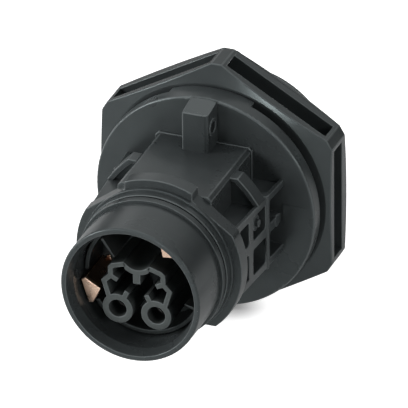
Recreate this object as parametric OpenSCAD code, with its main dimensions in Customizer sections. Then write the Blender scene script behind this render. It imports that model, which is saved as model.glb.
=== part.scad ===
// Panel mount power connector: ribbed housing, mounting nut, collar and keyed contact insert.
// The axis of the connector lies along Y. The mating side faces -Y, the inside of the cabinet +Y.
// The origin is on the axis, in the plane in which the flange seats on the panel.

/* [Flange and neck] */
// Overhang of the round flange beyond the neck
flange_overhang = 3.8; // [3.2:0.05:5]
// Thickness of the flange
flange_t = 3; // [2.6:0.1:4]
// Radius of the flange's front edge
flange_edge = 0.5; // [0.2:0.1:0.8]
// Outer diameter of the threaded neck
neck_d = 36; // [35:0.5:36.5]
// Length of the neck behind the panel seat
neck_len = 19.2; // [17:0.1:26]
// Wall of the neck behind the tail plate
neck_wall = 2.6; // [2:0.1:3]
// Depth of the anti-rotation key behind the flange
key_depth = 1.7; // [1:0.1:1.8]
// Angle that the key spans at the top of the flange
key_span = 44; // [30:1:60]
// Radial thickness of the key
key_t = 1; // [0.6:0.1:1.1]

/* [Nut] */
// Width of the nut across its flats
nut_flats = 46; // [45:0.5:52]
// Height of the nut's corner facets above its flats
nut_corner_h = 2.95; // [2.3:0.05:3.1]
// Thickness of the nut
nut_t = 8.9; // [8.4:0.1:10.5]
// Room for the panel between flange and nut
panel_room = 2.1; // [2:0.1:5]
// Width of the recess in each flat
nut_slot_w = 4; // [3:0.1:4.4]
// Share of the nut's wall that the recess in each flat takes
nut_slot_share = 0.6; // [0.3:0.02:0.68]
// Lip of the nut in front of the recess
nut_lip = 2.1; // [1.8:0.1:2.5]
// Wall at each end of a recess
nut_post = 0.8; // [0.5:0.1:2]
// Angle of the turned chamfers at the nut's front and rear
nut_chamfer = 15; // [10:1:18]

/* [Trunk] */
// Distance from the panel seat to the face of the front ring
trunk_len = 26.5; // [25:0.5:34]
// Diameter of the front ring
ring_d = 32.9; // [32:0.1:34]
// Width of the front ring along the axis
ring_w = 3.1; // [2.9:0.1:3.6]
// Distance from the axis to the flats on the ring's upper shoulders
ring_flat = 14.85; // [14.4:0.05:15.4]
// Width of the raised top sector of the ring
ring_crest_w = 13.4; // [10:0.1:15]
// Depth of the flat under the ring below the axis
ring_base = 12.1; // [11.6:0.1:12.4]
// Width of the trunk's core
core_w = 18.6; // [17.8:0.1:19.4]
// Height of the core's top above the axis
core_top = 13.1; // [12.8:0.1:14]
// Depth of the core's underside below the axis
core_bottom = 12.6; // [12.4:0.1:14]
// Width across the side boxes at the front ring
side_w_front = 28.8; // [28.4:0.1:30]
// Width across the side boxes at the flange
side_w_rear = 31.2; // [30:0.1:33]
// Height of the side boxes' upper ridge above the axis
side_top = 7.6; // [7.2:0.1:8]
// Depth of the side boxes' lower ridge below the axis
side_bottom = 7.3; // [6:0.1:7.8]
// Thickness of the ribs in the side grid
rib_t = 1.9; // [1.4:0.1:2.2]
// Distance from the panel seat to the front edge of the windows
window_front = 22.3; // [20:0.1:22.4]
// Distance from the panel seat to the front rib's rear edge
front_rib_back = 16.3; // [15.6:0.1:17]
// Distance from the panel seat to the rear rib's rear edge
rear_rib_back = 8.9; // [8:0.1:9.6]
// Depth of the windows between the ribs
window_depth = 2.2; // [1.2:0.1:2.4]
// Thickness of the ridges above and below the windows
ridge_t = 1.4; // [1.3:0.1:1.6]
// Width of the ridge beside the upper pockets
ridge_w = 0.8; // [0.6:0.1:1.2]
// Depth of the pockets between the core and the upper ridges
pocket_depth = 0.8; // [0.4:0.1:0.8]
// Height of the grid's middle rib above the axis
mid_rib_z = 0.4; // [0:0.1:1.5]
// Thickness of the grid's middle rib
mid_rib_t = 1.9; // [1.4:0.1:2.2]
// Diameter of the round boss in the upper middle window
boss_d = 3.2; // [2.4:0.1:3.6]
// Width of each strap along the axis
strap_w = 3.2; // [2.8:0.1:4]
// Thickness of each strap
strap_t = 1.3; // [1:0.1:1.6]
// Distance from the panel seat to the straps' rear edge
strap_back = 11; // [10:0.1:12]
// Length of the straps' level part beside the core
strap_flat = 1.9; // [1.2:0.1:2.2]

/* [Lug] */
// Width of the sealing lug
lug_w = 5.2; // [4.5:0.1:6]
// Reach of the lug in front of the flange
lug_reach = 5; // [4.4:0.1:6]
// Fall of the lug's top towards its front
lug_drop = 0.8; // [0.4:0.1:1.4]
// Diameter of the sealing hole
lug_hole_d = 2.2; // [1.6:0.1:2.6]
// Diameter of the raised rim round the sealing hole
lug_rim_d = 3.6; // [3.2:0.1:4]
// Depth of the sealing hole below the flange's rim
lug_hole_drop = 4.15; // [3.6:0.05:4.6]

/* [Collar] */
// Outer diameter of the mating collar
collar_d = 27.5; // [27.2:0.1:27.8]
// Wall of the mating collar
collar_wall = 1.75; // [1.6:0.05:1.9]
// Distance from the front ring's face to the collar's rim
rim_reach = 14.6; // [13.5:0.1:19.5]
// Width of the bead at the collar's rear
bead_w = 1.4; // [1:0.1:2]
// Height of the bead above the collar
bead_h = 0.6; // [0.4:0.1:0.9]
// Diameter of the collar seal's ring section
seal_d = 1; // [0.8:0.1:1.2]
// Radius of the collar's outer rim edge
rim_edge = 0.45; // [0.2:0.05:0.7]
// Width of the lead-in round the collar's mouth
mouth_w = 0.7; // [0.3:0.05:0.8]
// Depth of the lead-in round the collar's mouth
mouth_len = 2.2; // [1:0.1:3]

/* [Insert] */
// Distance from the front ring's face to the tower's face
tower_reach = 11.2; // [10.6:0.1:12]
// Distance from the front ring's face to the skirt's edge
skirt_reach = 7.5; // [5.5:0.1:9]
// Wall of the skirt
skirt_t = 0.9; // [0.7:0.1:1]
// Radius of the circle on which the contacts sit
contact_pcr = 6.5; // [6.3:0.05:6.7]
// Outer diameter of the contact tubes
tube_d = 6; // [5.8:0.1:6.4]
// Diameter of the tubes' entry holes
entry_d = 3.5; // [3.3:0.1:3.7]
// Wall of the tower
tower_t = 1; // [0.8:0.05:1.2]
// Width of the tower across its shoulders
tower_w = 14; // [13.6:0.1:14.4]
// Width of the tower across its upper corners
tower_top_w = 11.4; // [11:0.1:12]
// Height of the tower's crests above the axis
tower_crest = 4.8; // [4.4:0.1:5]

/* [Contacts] */
// Distance from the front ring's face to the tips of the blades
blade_reach = 10; // [7.5:0.1:11.5]
// Distance from the axis to the inner edge of the blades
blade_inner = 8; // [7.9:0.05:8.4]
// Width of the blades at their outer side
blade_w = 5.2; // [4.4:0.1:5.6]
// Distance from the front ring's face to the tip of the upper blank
blank_upper_reach = 11.7; // [8.5:0.1:12.5]
// Distance from the front ring's face to the tip of the lower blank
blank_lower_reach = 9.5; // [6:0.1:10.5]
// Distance from the axis to the inner edge of the upper blank
blank_inner = 7.1; // [7:0.05:7.6]
// Distance from the axis to the inner edge of the lower blank
blank_lower_inner = 9.2; // [8:0.05:9.6]
// Thickness of the blanks at their outer side
blank_t = 0.6; // [0.5:0.1:1.6]
// Bore of the socket contacts
socket_bore_d = 2.8; // [2.5:0.05:2.9]
// Outer diameter of the socket contacts
socket_d = 4.4; // [4.1:0.1:4.6]
// Depth of the sockets' bore
socket_depth = 7.5; // [6:0.1:7.8]
// Width of the flat tabs at the rear
tab_w = 4.8; // [4:0.1:5.2]
// Thickness of the flat tabs
tab_t = 0.8; // [0.6:0.1:1]
// Distance from the panel seat to the ends of the tabs
tab_reach = 15; // [13:0.5:16]
// Diameter of the hole near the end of each tab
tab_hole_d = 1.5; // [1:0.1:2]
// Chamfer at the end of each tab
tab_tip = 0.9; // [0.4:0.1:1.5]

/* [Tail plate] */
// Distance from the panel seat to the floor under the tail plate
plate_seat = 4; // [3.5:0.1:5]
// Thickness of the tail plate
plate_t = 3; // [2.5:0.1:4]
// Diameter of the plate screws' shanks
screw_d = 2; // [1.6:0.1:2.2]
// Length of the screws' thread in the floor
screw_bite = 3; // [2:0.1:3.5]

/* [Hidden] */
$fn = 72;
// Overlap of joined volumes and overshoot of cuts
over = 0.1;
// Clearance between pieces that are pushed together
push_gap = 0.1;
// Radial clearance of the nut's thread on the neck
thread_gap = 0.08;

flange_d = neck_d + 2 * flange_overhang;
nut_sides = 6;
nut_half = 180 / nut_sides;
nut_flat_r = nut_flats / 2;
nut_facet_r = nut_flat_r + nut_corner_h;
nut_face_inset = 0.9;
nut_face_r = nut_flat_r - nut_face_inset;
nut_slot_depth = nut_slot_share * (nut_flats - neck_d) / 2;
lug_hole_z = flange_d / 2 - lug_hole_drop;
flange_front = -flange_t;
ring_front = -trunk_len;
ring_rear = ring_front + ring_w;
collar_r = collar_d / 2;
collar_bore_r = collar_r - collar_wall;
spigot_wall = 1.2;
spigot_r = collar_bore_r + spigot_wall;
ledge_t = 1.3;
body_bore_r = spigot_r + push_gap;
passage_wall = 1;
passage_r = collar_bore_r - passage_wall;
seat_ring_t = 0.9;
shoulder_y = ring_rear - ledge_t / 2;
insert_flange_t = 2.3;
insert_rear = shoulder_y - seat_ring_t;
insert_front = insert_rear - insert_flange_t;
rim_y = ring_front - rim_reach;
lip_step_t = 0.9;
lip_step_r = spigot_r + ledge_t + lip_step_t / 2;
lip_ring_r = spigot_r + ledge_t;
lip_front = ring_front - 2 * lip_step_t;
seal_y = lip_front - seal_d / 2;
bead_rear = lip_front - seal_d;
bead_front = bead_rear - bead_w;
neck_bore_r = neck_d / 2 - neck_wall;
nut_front = panel_room;
nut_rear = nut_front + nut_t;

neck_edge = 0.6;
gasket_gap = 0.35;
gasket_in_r = neck_d / 2 + gasket_gap;
gasket_out_r = flange_d / 2 - key_t - gasket_gap;
gasket_groove = 0.9;
gasket_proud = 0.3;

shoulder_angle = 53.5;
core_x = core_w / 2;
core_edge = 0.7;
core_root_h = 0.35;
core_root_t = 0.6;
mid_rib_gap = 1.2;
mid_rib_end_d = 2.6;
post_inset = 0.75;
post_proud = 0.3;
boss_sink = 0.7;
boss_pin_d = 1.5;
pad_h = 0.12;
pad_edge = 1.3;
pad_low = -2;
pad_high = 2.5;
pocket_floor = side_top - pocket_depth;
window_floor = side_w_front / 2 - window_depth;
strap_front = -strap_back - strap_w;
strap_drop = 0.5;
strap_stand = 0.2;
strap_lean = 1.35;
strap_bow = 0.6;
strap_steps = 6;
strap_web_inset = 0.8;
lug_rim_h = 0.2;

tube_angles = [234, 306];
blade_angles = [198, 54];
blank_angles = [126, 342];
outer_gap = 0.5;
blade_gap = 0.7;
blade_lip = 0.85;
blade_lip_fall = 0.2;
skirt_gap = 0.25;
blade_outer = collar_bore_r - blade_gap;
skirt_r = collar_bore_r - skirt_gap;
skirt_y = ring_front - skirt_reach;
tower_face = ring_front - tower_reach;
tail_r = (blade_inner + passage_r) / 2;
wall_root_angle = 50;
tube_rib_angle = 117;
shoulder_rise = 0.1;
notch_rise = 1.4;
corner_fall = 1.7;
bevel_fall = 1.2;
crest_share = 0.4;
side_rib = [-1.4, -0.7];
tube_rib = 1.3;
top_rib = [1.5, 2.4];
chamber_d = socket_d + push_gap;
entry_depth = 4;
chamber_front = tower_face + entry_depth;
socket_front = chamber_front + push_gap;
socket_tail_d = 2.4;
plate_rear = plate_seat + plate_t;
plate_r = neck_bore_r - push_gap;
tab_sink = 1;
tab_root = plate_rear - tab_sink;
tab_hole_back = 2.8;
screw_head_share = [1.7, 0.6];
screw_head_d = screw_head_share[0] * screw_d;
screw_head_h = screw_head_share[1] * screw_d;
screw_edge = 0.5;
screw_pcr = neck_bore_r - screw_edge - screw_head_d / 2;
screw_angles = [6, 126, 246];
screw_len = plate_t + screw_bite;

charcoal = "#3d4143";
graphite = "#34383a";
black_rubber = "#1c1d1e";
copper = "#c98f6c";
silvered = "#b9bcc0";

// A cylinder about the connector's axis, from y0 to y1.
module rod(r, y0, y1) {
    translate([0, y0, 0]) rotate([-90, 0, 0]) cylinder(r = r, h = y1 - y0);
}

// A tube about the connector's axis.
module tube(r_out, r_in, y0, y1) {
    difference() {
        rod(r_out, y0, y1);
        rod(r_in, y0 - over, y1 + over);
    }
}

// An outline drawn in X and Z, drawn out along the axis from y0 to y1.
module along(y0, y1) {
    translate([0, y1, 0]) rotate([90, 0, 0]) linear_extrude(y1 - y0) children();
}

// An outline drawn as radius and Y, turned about the axis.
module turned() {
    rotate([-90, 0, 0]) rotate_extrude() children();
}

// A box given by its two opposite corners.
module block(a, b) {
    translate(a) cube(b - a);
}

// Children turned to an angle about the axis, counted from +X towards +Z.
module at_angle(a) {
    rotate([0, -a, 0]) children();
}

// The children and their mirror image on the other side of the axis.
module both_sides() {
    children();
    mirror([1, 0, 0]) children();
}

// The flange: a disc with a rounded front edge.
module flange_disc() {
    r = flange_d / 2;
    turned() {
        translate([0, flange_front + flange_edge]) square([r, flange_t - flange_edge]);
        translate([0, flange_front]) square([r - flange_edge, flange_t]);
        translate([r - flange_edge, flange_front + flange_edge]) circle(flange_edge);
    }
}

// The anti-rotation key, an arc of the flange's rim that stands into the panel cut-out's notch.
module flange_key() {
    half = key_span / 2;
    rotate([-90, 0, 0]) rotate([0, 0, -90 - half]) rotate_extrude(angle = key_span)
        translate([flange_d / 2 - key_t, -over]) square([key_t, key_depth + over]);
}

// The neck, with a broken edge at its end.
module neck() {
    r = neck_d / 2;
    turned() polygon([[0, -over], [r, -over], [r, neck_len - neck_edge], [r - neck_edge, neck_len],
        [0, neck_len]]);
}

// The front ring: round at the sides, flat on its shoulders and below, with a raised crest on top.
module front_ring() {
    r = ring_d / 2;
    difference() {
        rod(r, ring_front, ring_rear);
        for (a = [shoulder_angle, 180 - shoulder_angle])
            at_angle(a) block([ring_flat, ring_front - over, -ring_d], [ring_d, ring_rear + over, ring_d]);
        difference() {
            block([-ring_d, ring_front - over, -ring_d], [ring_d, ring_rear + over, -ring_base]);
            rod(lip_step_r, ring_front - 2 * over, ring_rear + 2 * over);
        }
    }
    intersection() {
        rod(r, ring_front, ring_rear);
        block([-ring_crest_w / 2, ring_front, 0], [ring_crest_w / 2, ring_rear, ring_d]);
    }
}

// The stepped lip in front of the ring, which carries the collar.
module front_lip() {
    rod(lip_step_r, ring_front - lip_step_t, ring_front + over);
    rod(lip_ring_r, lip_front, ring_front);
}

// The core's outline, a box with broken upper edges, grown on all sides but the lower one.
module core_outline(grow) {
    x = core_x + grow;
    top = core_top + grow;
    edge = core_edge;
    polygon([[-x, -core_bottom], [x, -core_bottom], [x, top - edge], [x - edge, top], [edge - x, top],
        [-x, top - edge]]);
}

// The core of the trunk, with a low root where it meets the flange.
module trunk_core() {
    along(ring_rear - over, flange_front + over) core_outline(0);
    along(flange_front - core_root_t, flange_front + over) core_outline(core_root_h);
}

// Half the width across the side boxes at a place along the axis.
function side_x(y) =
    let (share = (y - ring_rear) / (flange_front - ring_rear))
    (side_w_front + share * (side_w_rear - side_w_front)) / 2;

// The side boxes, which widen towards the flange.
module side_boxes() {
    y0 = ring_rear - over;
    y1 = flange_front + over;
    translate([0, 0, -side_bottom]) linear_extrude(side_top + side_bottom)
        polygon([[-side_x(y0), y0], [side_x(y0), y0], [side_x(y1), y1], [-side_x(y1), y1]]);
}

// Windows of the right side box: three columns above and below the middle rib.
module side_windows() {
    columns = [[-window_front, -front_rib_back - rib_t], [-front_rib_back, -rear_rib_back - rib_t],
        [-rear_rib_back, flange_front]];
    rows = [[-side_bottom + ridge_t, mid_rib_z - mid_rib_t / 2],
        [mid_rib_z + mid_rib_t / 2, side_top - ridge_t]];
    for (column = columns, row = rows)
        block([window_floor, column[0], row[0]], [side_w_rear, column[1], row[1]]);
    block([window_floor, flange_front - mid_rib_gap, rows[0][0]], [side_w_rear, flange_front, rows[1][1]]);
}

// The pocket between the core and the right side box's upper ridge.
module side_pocket() {
    y0 = ring_rear;
    y1 = flange_front;
    translate([0, 0, pocket_floor]) linear_extrude(ring_d)
        polygon([[core_x - over, y0], [side_x(y0) - ridge_w, y0], [side_x(y1) - ridge_w, y1],
            [core_x - over, y1]]);
}

// A round boss that stands on the floor of the windows.
module window_stud(y, z, d, top) {
    translate([window_floor - over, y, z]) rotate([0, 90, 0]) cylinder(d = d, h = top - window_floor + over);
}

// The round forms of the right side grid: the middle rib's end, the upper window's boss and the rear post.
module grid_rounds() {
    end_y = flange_front - mid_rib_gap - mid_rib_end_d / 2;
    window_stud(end_y, mid_rib_z, mid_rib_end_d, side_x(end_y));
    boss_y = -(front_rib_back + rear_rib_back + rib_t) / 2;
    boss_z = (mid_rib_z + mid_rib_t / 2 + side_top - ridge_t) / 2;
    window_stud(boss_y, boss_z, boss_d, side_x(boss_y) - boss_sink);
    window_stud(boss_y, boss_z, boss_pin_d, side_x(boss_y));
    post_y = -rear_rib_back - rib_t / 2;
    translate([side_x(post_y) - post_inset, post_y, -side_bottom - post_proud])
        cylinder(d = rib_t, h = side_top + side_bottom + 2 * post_proud);
}

// A shallow pad on the flange beside the right side box.
module flange_pad() {
    block([side_w_rear / 2 - over, flange_front - pad_h, pad_low],
        [flange_d / 2 - pad_edge, flange_front + over, pad_high]);
}

// Points of a bent line from a to c, drawn towards b.
function bent(a, b, c, steps) =
    [for (i = [0:steps]) let (t = i / steps) (1 - t) * (1 - t) * a + 2 * t * (1 - t) * b + t * t * c];

// A strap that bends from the core's top edge down to the side box's upper ridge, with a web behind its face.
module strap() {
    top = core_top - strap_drop;
    root = core_x - over;
    knee = core_x + strap_flat;
    foot = side_x(strap_front) + strap_stand;
    low = side_top - over;
    inner = [strap_t / 2, strap_t];
    slope = strap_t * strap_lean;
    bow = [knee + strap_bow * (foot - knee), top];
    outside = bent([knee, top], bow, [foot, low], strap_steps);
    inside = bent([foot - slope, low], bow - inner, [knee, top] - inner, strap_steps);
    middle = bent([knee, top] - inner / 2, bow - inner / 2, [foot - slope / 2, low], strap_steps);
    along(strap_front, -strap_back)
        polygon(concat([[root, top]], outside, inside, [[root, top - strap_t]]));
    along(strap_front + strap_web_inset, -strap_back)
        polygon(concat([[root, top - strap_t / 2]], middle,
            [[foot - slope / 2, pocket_floor - over], [root, pocket_floor - over]]));
}

// The sealing lug on top of the core: its top falls forward from the flange's rim.
module lug() {
    y0 = flange_front - lug_reach;
    y1 = flange_front + over;
    hole_y = flange_front - lug_reach / 2;
    r = flange_d / 2;
    intersection() {
        translate([-lug_w / 2, 0, 0]) rotate([90, 0, 90]) linear_extrude(lug_w)
            polygon([[y0, core_top - over], [y1, core_top - over], [y1, r], [y0, r - lug_drop]]);
        rod(r, y0, y1);
    }
    translate([-lug_w / 2 - lug_rim_h, hole_y, lug_hole_z]) rotate([0, 90, 0])
        cylinder(d = lug_rim_d, h = lug_w + 2 * lug_rim_h);
}

// The cross hole of the lug.
module lug_hole() {
    translate([-lug_w, flange_front - lug_reach / 2, lug_hole_z]) rotate([0, 90, 0])
        cylinder(d = lug_hole_d, h = 2 * lug_w);
}

module body_housing() {
    color(charcoal) difference() {
        union() {
            flange_disc();
            flange_key();
            neck();
            front_lip();
            difference() {
                union() {
                    front_ring();
                    side_boxes();
                }
                both_sides() side_windows();
                both_sides() side_pocket();
            }
            trunk_core();
            both_sides() grid_rounds();
            both_sides() strap();
            both_sides() flange_pad();
            lug();
        }
        lug_hole();
        rod(body_bore_r, lip_front - over, shoulder_y);
        rod(passage_r, lip_front - over, plate_seat + over);
        rod(neck_bore_r, plate_seat, neck_len + over);
        tube(gasket_out_r + push_gap, gasket_in_r - push_gap, -gasket_groove, over);
        for (a = screw_angles)
            at_angle(a) translate([screw_pcr, 0, 0])
                rod(screw_d / 2, plate_rear - screw_len - over, neck_len);
    }
}

// A recess in the flat that faces +X.
module nut_recess() {
    half = (nut_facet_r - nut_flat_r * cos(nut_half)) / sin(nut_half) - nut_post;
    y0 = nut_front + nut_lip;
    block([nut_flat_r - nut_slot_depth, y0, -half], [nut_flats, y0 + nut_slot_w, half]);
}

// A six-sided prism about the axis, as thick as the nut, turned by an angle.
module nut_prism(flat_r, turn) {
    translate([0, nut_front, 0]) rotate([-90, turn, 0])
        cylinder(r = flat_r / cos(nut_half), h = nut_t, $fn = nut_sides);
}

module mounting_nut() {
    out_r = nut_flat_r / cos(nut_half);
    fall = (out_r - nut_face_r) * tan(nut_chamfer);
    color(graphite) difference() {
        intersection() {
            nut_prism(nut_flat_r, nut_half);
            nut_prism(nut_facet_r, 0);
            turned() polygon([[0, nut_front], [nut_face_r, nut_front], [out_r, nut_front + fall],
                [out_r, nut_rear - fall], [nut_face_r, nut_rear], [0, nut_rear]]);
        }
        rod(neck_d / 2 + thread_gap, nut_front - over, nut_rear + over);
        for (i = [0:nut_sides - 1])
            at_angle(i * 2 * nut_half) nut_recess();
    }
}

module panel_gasket() {
    color(black_rubber) tube(gasket_out_r, gasket_in_r, -gasket_groove, gasket_proud);
}

module mating_collar() {
    color(charcoal) difference() {
        union() {
            turned() {
                translate([0, rim_y + rim_edge]) square([collar_r, bead_rear - rim_y - rim_edge]);
                translate([0, rim_y]) square([collar_r - rim_edge, rim_edge + over]);
                translate([collar_r - rim_edge, rim_y + rim_edge]) circle(rim_edge);
            }
            rod(collar_r + bead_h, bead_front, bead_rear);
            rod(spigot_r, bead_rear - over, insert_front);
        }
        rod(collar_bore_r, rim_y - over, insert_front + over);
        turned() polygon([[0, rim_y - over], [collar_bore_r + mouth_w, rim_y - over],
            [collar_bore_r + mouth_w, rim_y], [collar_bore_r, rim_y + mouth_len], [0, rim_y + mouth_len]]);
    }
}

module collar_seal() {
    mid_r = spigot_r + push_gap + seal_d / 2;
    color(black_rubber) turned() translate([mid_r, seal_y]) circle(d = seal_d - push_gap);
}

function unit(v) = v / norm(v);

// The mitred sideways step at point i of a path.
function mitre(path, i) =
    let (last = len(path) - 1,
        into = unit(path[max(i, 1)] - path[max(i, 1) - 1]),
        out = unit(path[min(i, last - 1) + 1] - path[min(i, last - 1)]),
        sum = into + out)
    [-sum[1], sum[0]] / (1 + into * out);

// A wall of the tower that follows a path.
module wall_run(path) {
    w = tower_t / 2;
    last = len(path) - 1;
    polygon(concat([for (i = [0:last]) path[i] + w * mitre(path, i)],
        [for (i = [0:last]) path[last - i] - w * mitre(path, last - i)]));
}

function on_circle(r, a) = [r * cos(a), r * sin(a)];

// The tower's walls in X and Z: shoulders, notched sides, crests, the top channel and short inner ribs.
// The points of a wall lie on its middle line, and their steps are counted in wall thicknesses.
module tower_outline() {
    t = tower_t;
    w = t / 2;
    tube_c = on_circle(contact_pcr, tube_angles[1]);
    channel_r = tube_d / 2;
    channel_z = contact_pcr;
    root_r = (channel_r + chamber_d / 2) / 2;
    shoulder = [tower_w / 2 - w, shoulder_rise * t];
    notch = [tower_top_w / 2 - w, notch_rise * t];
    corner = [tower_top_w / 2 - w, tower_crest - corner_fall * t];
    bevel = [tower_top_w / 2 - t, tower_crest - bevel_fall * t];
    crest = [crest_share * tube_d, tower_crest - w];
    both_halves() {
        wall_run([tube_c + on_circle(root_r, wall_root_angle), shoulder, notch, corner, bevel, crest]);
        wall_run([notch, notch + side_rib * t]);
        wall_run([tube_c + on_circle(root_r, tube_rib_angle),
            tube_c + on_circle(channel_r + tube_rib * t, tube_rib_angle)]);
    }
    intersection() {
        difference() {
            translate([0, channel_z]) circle(channel_r + tower_t);
            translate([0, channel_z]) circle(channel_r);
        }
        translate([-crest[0], 0]) square([2 * crest[0], tower_crest]);
    }
    rib_top = channel_z - channel_r - w;
    translate([-top_rib[0] / 2 * t, rib_top - top_rib[1] * t]) square(top_rib * t);
}

// An outline and its mirror image.
module both_halves() {
    children();
    mirror([1, 0]) children();
}

// The cross-section of the blades, in a frame that turns to their place.
module blade_outline() {
    half = blade_w / 2;
    low = half - blade_lip_fall;
    polygon([[blade_inner, 0], [blade_outer - blade_lip, half], [blade_outer, low], [blade_outer, -low],
        [blade_outer - blade_lip, -half]]);
}

// The cross-section of the thin blanks that close the empty blade places.
module blank_outline(inner) {
    half = blank_t / 2;
    tip = half / 2;
    polygon([[inner, -tip], [blade_outer, -half], [blade_outer, half], [inner, tip]]);
}

// A flat bar at an angle round the axis.
module tail(a, r, w, t, y0, y1) {
    at_angle(a) block([r - t / 2, y0, -w / 2], [r + t / 2, y1, w / 2]);
}

// A flat tab at an angle round the axis, with a hole and a narrowed end for a push-on terminal.
module tab(a, r, y0) {
    w = tab_w / 2;
    y1 = tab_reach;
    at_angle(a) translate([r - tab_t / 2, 0, 0]) rotate([90, 0, 90]) linear_extrude(tab_t) difference() {
        polygon([[y0, -w], [y1 - tab_tip, -w], [y1, tab_tip - w], [y1, w - tab_tip], [y1 - tab_tip, w],
            [y0, w]]);
        translate([y1 - tab_hole_back, 0]) circle(d = tab_hole_d);
    }
}

module contact_insert() {
    gap = 2 * push_gap;
    slots = concat([for (a = blade_angles) [a, blade_w]], [for (a = blank_angles) [a, blank_t]]);
    color(graphite) difference() {
        union() {
            rod(spigot_r, insert_front + push_gap, insert_rear);
            difference() {
                tube(skirt_r, skirt_r - skirt_t, skirt_y, insert_front + over + push_gap);
                for (slot = slots)
                    at_angle(slot[0]) block([blade_inner, skirt_y - over, -slot[1] / 2 - outer_gap],
                        [collar_d, insert_front + push_gap, slot[1] / 2 + outer_gap]);
            }
            along(tower_face, insert_front + over + push_gap) tower_outline();
            for (a = tube_angles)
                at_angle(a) translate([contact_pcr, 0, 0]) rod(tube_d / 2, tower_face, insert_rear);
        }
        for (a = tube_angles)
            at_angle(a) translate([contact_pcr, 0, 0]) {
                rod(entry_d / 2, tower_face - over, chamber_front + over);
                rod(chamber_d / 2, chamber_front, insert_rear + over);
            }
        for (a = blade_angles)
            tail(a, tail_r, tab_w + gap, tab_t + gap, insert_front - over, insert_rear + over);
    }
}

module insert_seal() {
    color(black_rubber) tube(spigot_r, passage_r, insert_rear, shoulder_y);
}

// A cutting blade with its flat tail, which ends as a tab behind the tail plate.
module blade(a) {
    color(copper) {
        at_angle(a) along(ring_front - blade_reach, insert_front + push_gap) blade_outline();
        tab(a, tail_r, insert_front);
    }
}

module blade_left() {
    blade(blade_angles[0]);
}

module blade_right() {
    blade(blade_angles[1]);
}

// A blank that stands on the insert's base in an empty blade place.
module blank(a, reach, inner) {
    color(graphite) at_angle(a) along(ring_front - reach, insert_front + push_gap) blank_outline(inner);
}

module blank_upper() {
    blank(blank_angles[0], blank_upper_reach, blank_inner);
}

module blank_lower() {
    blank(blank_angles[1], blank_lower_reach, blank_lower_inner);
}

// A turned socket with a plain tail that ends in the tail plate.
module socket(a) {
    color(silvered) at_angle(a) translate([contact_pcr, 0, 0]) difference() {
        union() {
            rod(socket_d / 2, socket_front, insert_rear);
            rod(socket_tail_d / 2, insert_rear - over, tab_root);
        }
        rod(socket_bore_d / 2, socket_front - over, socket_front + socket_depth);
    }
}

module socket_left() {
    socket(tube_angles[0]);
}

module socket_right() {
    socket(tube_angles[1]);
}

module socket_tab_left() {
    color(silvered) tab(tube_angles[0], contact_pcr, tab_root);
}

module socket_tab_right() {
    color(silvered) tab(tube_angles[1], contact_pcr, tab_root);
}

module tail_plate() {
    gap = 2 * push_gap;
    color(graphite) difference() {
        rod(plate_r, plate_seat, plate_rear);
        for (a = blade_angles)
            tail(a, tail_r, tab_w + gap, tab_t + gap, plate_seat - over, plate_rear + over);
        for (a = tube_angles) {
            tail(a, contact_pcr, tab_w + gap, tab_t + gap, tab_root - push_gap, plate_rear + over);
            at_angle(a) translate([contact_pcr, 0, 0])
                rod((socket_tail_d + gap) / 2, plate_seat - over, tab_root);
        }
        for (a = screw_angles)
            at_angle(a) translate([screw_pcr, 0, 0]) {
                rod(screw_d / 2 + push_gap, plate_seat - over, plate_rear + over);
                rod(screw_head_d / 2 + push_gap, plate_rear - screw_head_h, plate_rear + over);
            }
    }
}

module plate_screws() {
    fit = push_gap / 2;
    color(silvered) for (a = screw_angles)
        at_angle(a) translate([screw_pcr, 0, 0]) {
            rod(screw_d / 2 - fit, plate_rear - screw_len, plate_rear - screw_head_h + over);
            rod(screw_head_d / 2, plate_rear - screw_head_h, plate_rear);
        }
}

body_housing();
mounting_nut();
panel_gasket();
mating_collar();
collar_seal();
contact_insert();
insert_seal();
blade_left();
blade_right();
blank_upper();
blank_lower();
socket_left();
socket_right();
socket_tab_left();
socket_tab_right();
tail_plate();
plate_screws();
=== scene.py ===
import math

import bmesh
import bpy
from mathutils import Matrix, Vector, geometry


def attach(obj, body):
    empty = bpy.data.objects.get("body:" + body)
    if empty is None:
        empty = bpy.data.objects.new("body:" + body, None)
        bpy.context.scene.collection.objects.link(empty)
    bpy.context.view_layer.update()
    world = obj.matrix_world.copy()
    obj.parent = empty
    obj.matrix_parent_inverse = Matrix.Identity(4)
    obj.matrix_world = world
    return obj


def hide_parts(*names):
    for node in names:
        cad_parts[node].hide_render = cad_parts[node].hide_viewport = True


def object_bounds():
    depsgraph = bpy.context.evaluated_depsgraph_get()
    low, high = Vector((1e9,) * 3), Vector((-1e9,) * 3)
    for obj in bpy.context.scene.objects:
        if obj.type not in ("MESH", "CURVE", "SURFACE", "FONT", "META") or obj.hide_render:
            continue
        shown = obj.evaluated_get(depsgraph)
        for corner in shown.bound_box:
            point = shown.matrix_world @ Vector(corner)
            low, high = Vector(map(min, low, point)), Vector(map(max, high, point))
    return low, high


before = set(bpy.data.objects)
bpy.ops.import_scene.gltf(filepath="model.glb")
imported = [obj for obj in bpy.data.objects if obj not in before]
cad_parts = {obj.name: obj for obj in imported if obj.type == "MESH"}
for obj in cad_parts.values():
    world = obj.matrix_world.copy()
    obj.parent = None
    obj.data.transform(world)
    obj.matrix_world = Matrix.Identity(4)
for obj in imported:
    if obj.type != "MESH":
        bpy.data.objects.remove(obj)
cadLow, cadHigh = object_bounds()
mm = 0.001
print("frame loaded,", len(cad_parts), "nodes")


# camera at the photograph's angle, far off with a long lens
cameraView = {
    "azimuth": 21.496, "elevation": 28.932, "roll": -0.424,
    "field": 76 * mm, "distance": 2.4,
    "aimRight": -1.285 * mm, "aimUp": -1.796 * mm,
}


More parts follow.
